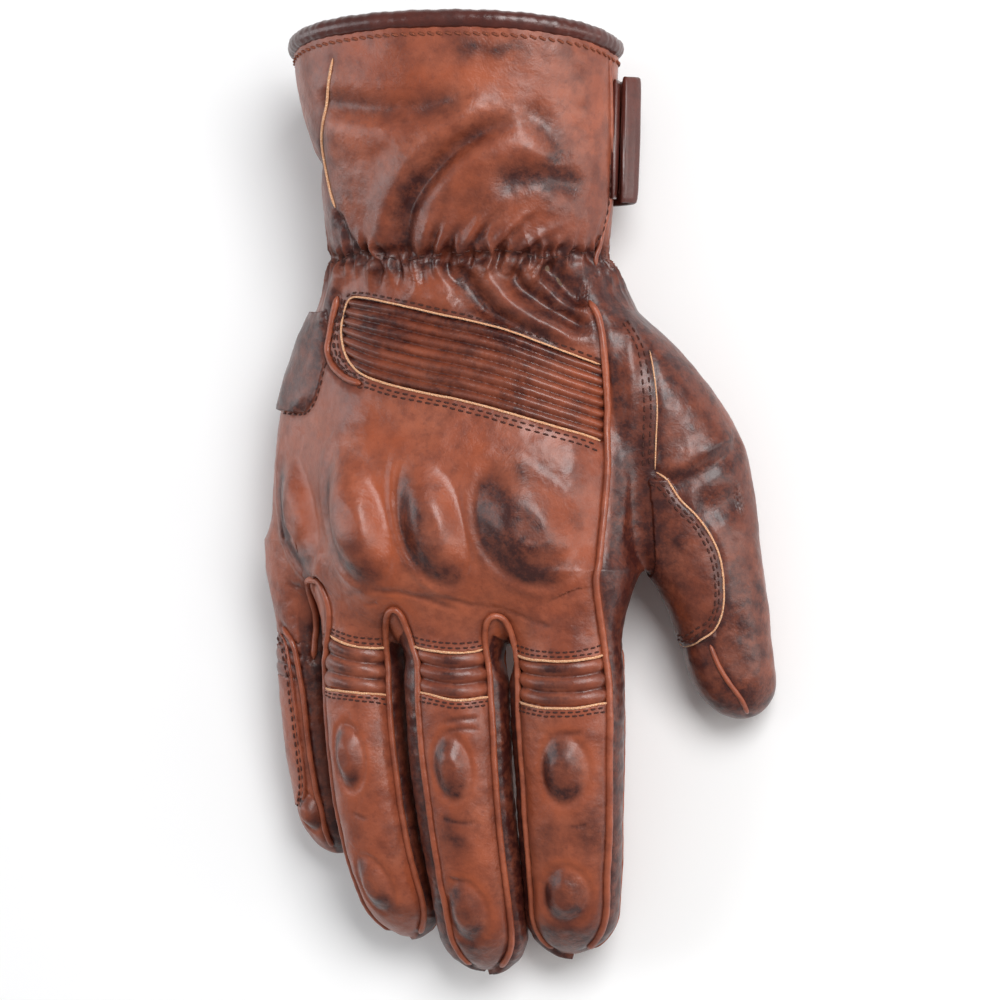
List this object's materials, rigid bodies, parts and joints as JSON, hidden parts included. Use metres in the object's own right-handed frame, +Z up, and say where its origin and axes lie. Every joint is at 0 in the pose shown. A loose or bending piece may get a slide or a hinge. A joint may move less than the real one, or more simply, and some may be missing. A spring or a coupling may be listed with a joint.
{
  "type": "riding glove",
  "caption": "Right-hand gauntlet riding glove in leather, with padded knuckles, ribbed flex panels, jointed fingers and a closing strap.",
  "frame": {"origin": "centre of the glove's bounding box in x and y, on the surface that it lies on, palm down", "axes": "+X towards the thumb, +Y from the fingertips to the cuff, +Z up out of the back of the hand"},
  "size_m": [0.1454, 0.269, 0.0613],
  "materials": {
    "outer_leather": "burnished, satin to glossy, cognac brown",
    "dark_leather": "burnished dark brown, satin to glossy",
    "lining_cloth": "matt knitted lining",
    "foam": "matt foam",
    "elastic": "matt woven elastic",
    "hook_and_loop": "matt hook-and-loop tape",
    "hard_shell": "satin moulded shell"
  },
  "bodies": {
    "hand": {"knuckle_panel": "outer_leather", "knuckle_guard": "hard_shell", "back_flex_panel": "outer_leather", "back_yoke": "outer_leather", "back_edge_panel": "outer_leather", "index_side_panel": "dark_leather", "palm_panel": "outer_leather", "edge_slider": "dark_leather", "palm_heel_pad": "dark_leather", "hand_lining": "lining_cloth", "wrist_elastic": "elastic", "thumb_root_back": "dark_leather", "thumb_root_under": "outer_leather"},
    "cuff": {"cuff_back_panel": "outer_leather", "cuff_palm_panel": "outer_leather", "cuff_lining": "lining_cloth", "cuff_binding": "dark_leather", "cuff_loop_patch": "hook_and_loop"},
    "strap": {"strap": "dark_leather", "strap_hook_patch": "hook_and_loop"},
    "thumb_lower": {"thumb_lower_back": "outer_leather", "thumb_lower_under": "outer_leather", "thumb_grip_patch": "outer_leather"},
    "thumb_tip": {"thumb_tip_back": "outer_leather", "thumb_tip_under": "outer_leather"},
    "index_proximal": {"index_flex_strip": "outer_leather", "index_proximal_under": "outer_leather"},
    "index_middle": {"index_middle_back": "outer_leather", "index_middle_under": "outer_leather", "index_middle_pad": "foam"},
    "index_distal": {"index_distal_back": "outer_leather", "index_distal_under": "outer_leather", "index_distal_pad": "foam"},
    "middle_proximal": {"middle_flex_strip": "outer_leather", "middle_proximal_under": "outer_leather"},
    "middle_middle": {"middle_middle_back": "outer_leather", "middle_middle_under": "outer_leather", "middle_middle_pad": "foam"},
    "middle_distal": {"middle_distal_back": "outer_leather", "middle_distal_under": "outer_leather", "middle_distal_pad": "foam"},
    "ring_proximal": {"ring_flex_strip": "outer_leather", "ring_proximal_under": "outer_leather"},
    "ring_middle": {"ring_middle_back": "outer_leather", "ring_middle_under": "outer_leather", "ring_middle_pad": "foam"},
    "ring_distal": {"ring_distal_back": "outer_leather", "ring_distal_under": "outer_leather", "ring_distal_pad": "foam"},
    "little_proximal": {"little_flex_strip": "outer_leather", "little_proximal_under": "outer_leather"},
    "little_middle": {"little_middle_back": "outer_leather", "little_middle_under": "outer_leather", "little_middle_pad": "foam"},
    "little_distal": {"little_distal_back": "outer_leather", "little_distal_under": "outer_leather", "little_distal_pad": "foam"}
  },
  "joints": [
    {"name": "wrist_bend", "type": "hinge", "parent": "hand", "child": "cuff", "pos_m": [-0.01175, 0.06447, 0.0273], "axis": [1, 0, 0], "range_deg": [-25, 25]},
    {"name": "strap_open", "type": "hinge", "parent": "cuff", "child": "strap", "pos_m": [0.03404, 0.09897, 0.02876], "axis": [0, -1, 0], "range_deg": [0, 110]},
    {"name": "thumb_base_bend", "type": "hinge", "parent": "hand", "child": "thumb_lower", "pos_m": [0.05181, 0.00547, 0.01844], "axis": [0.9129, 0.1923, -0.3601], "range_deg": [-8, 22]},
    {"name": "thumb_tip_bend", "type": "hinge", "parent": "thumb_lower", "child": "thumb_tip", "pos_m": [0.05726, -0.02753, 0.01534], "axis": [0.9087, 0.2255, -0.3514], "range_deg": [-8, 40]},
    {"name": "index_knuckle_bend", "type": "hinge", "parent": "hand", "child": "index_proximal", "pos_m": [0.01931, -0.03853, 0.03295], "axis": [0.9975, 0.0057, 0.0699], "range_deg": [-8, 60]},
    {"name": "index_middle_bend", "type": "hinge", "parent": "index_proximal", "child": "index_middle", "pos_m": [0.01973, -0.06053, 0.03169], "axis": [0.9975, 0.0038, 0.0701], "range_deg": [-8, 75]},
    {"name": "index_end_bend", "type": "hinge", "parent": "index_middle", "child": "index_distal", "pos_m": [0.01882, -0.09953, 0.02547], "axis": [0.996, -0.0733, 0.0508], "range_deg": [-8, 40]},
    {"name": "middle_knuckle_bend", "type": "hinge", "parent": "hand", "child": "middle_proximal", "pos_m": [-0.01329, -0.03853, 0.0349], "axis": [0.9877, 0.0024, 0.1565], "range_deg": [-8, 58]},
    {"name": "middle_middle_bend", "type": "hinge", "parent": "middle_proximal", "child": "middle_middle", "pos_m": [-0.01272, -0.06153, 0.03433], "axis": [0.9871, 0.0269, 0.1581], "range_deg": [-8, 72]},
    {"name": "middle_end_bend", "type": "hinge", "parent": "middle_middle", "child": "middle_distal", "pos_m": [-0.01049, -0.10453, 0.02729], "axis": [0.9876, 0.0011, 0.1567], "range_deg": [-8, 40]},
    {"name": "ring_knuckle_bend", "type": "hinge", "parent": "hand", "child": "ring_proximal", "pos_m": [-0.0419, -0.03853, 0.03028], "axis": [0.9703, 0.0056, 0.242], "range_deg": [-8, 60]},
    {"name": "ring_middle_bend", "type": "hinge", "parent": "ring_proximal", "child": "ring_middle", "pos_m": [-0.04131, -0.05953, 0.03011], "axis": [0.9691, 0.0416, 0.2433], "range_deg": [-8, 75]},
    {"name": "ring_end_bend", "type": "hinge", "parent": "ring_middle", "child": "ring_distal", "pos_m": [-0.03768, -0.09953, 0.02468], "axis": [0.9636, 0.0603, 0.2603], "range_deg": [-8, 40]},
    {"name": "little_knuckle_bend", "type": "hinge", "parent": "hand", "child": "little_proximal", "pos_m": [-0.06212, -0.03853, 0.01706], "axis": [0.966, -0.0041, 0.2585], "range_deg": [-8, 60]},
    {"name": "little_middle_bend", "type": "hinge", "parent": "little_proximal", "child": "little_middle", "pos_m": [-0.06169, -0.05503, 0.01559], "axis": [0.9657, 0.0078, 0.2597], "range_deg": [-8, 72]},
    {"name": "little_end_bend", "type": "hinge", "parent": "little_middle", "child": "little_distal", "pos_m": [-0.06011, -0.07853, 0.01216], "axis": [0.9601, 0.0701, 0.2707], "range_deg": [-8, 40]}
  ]
}
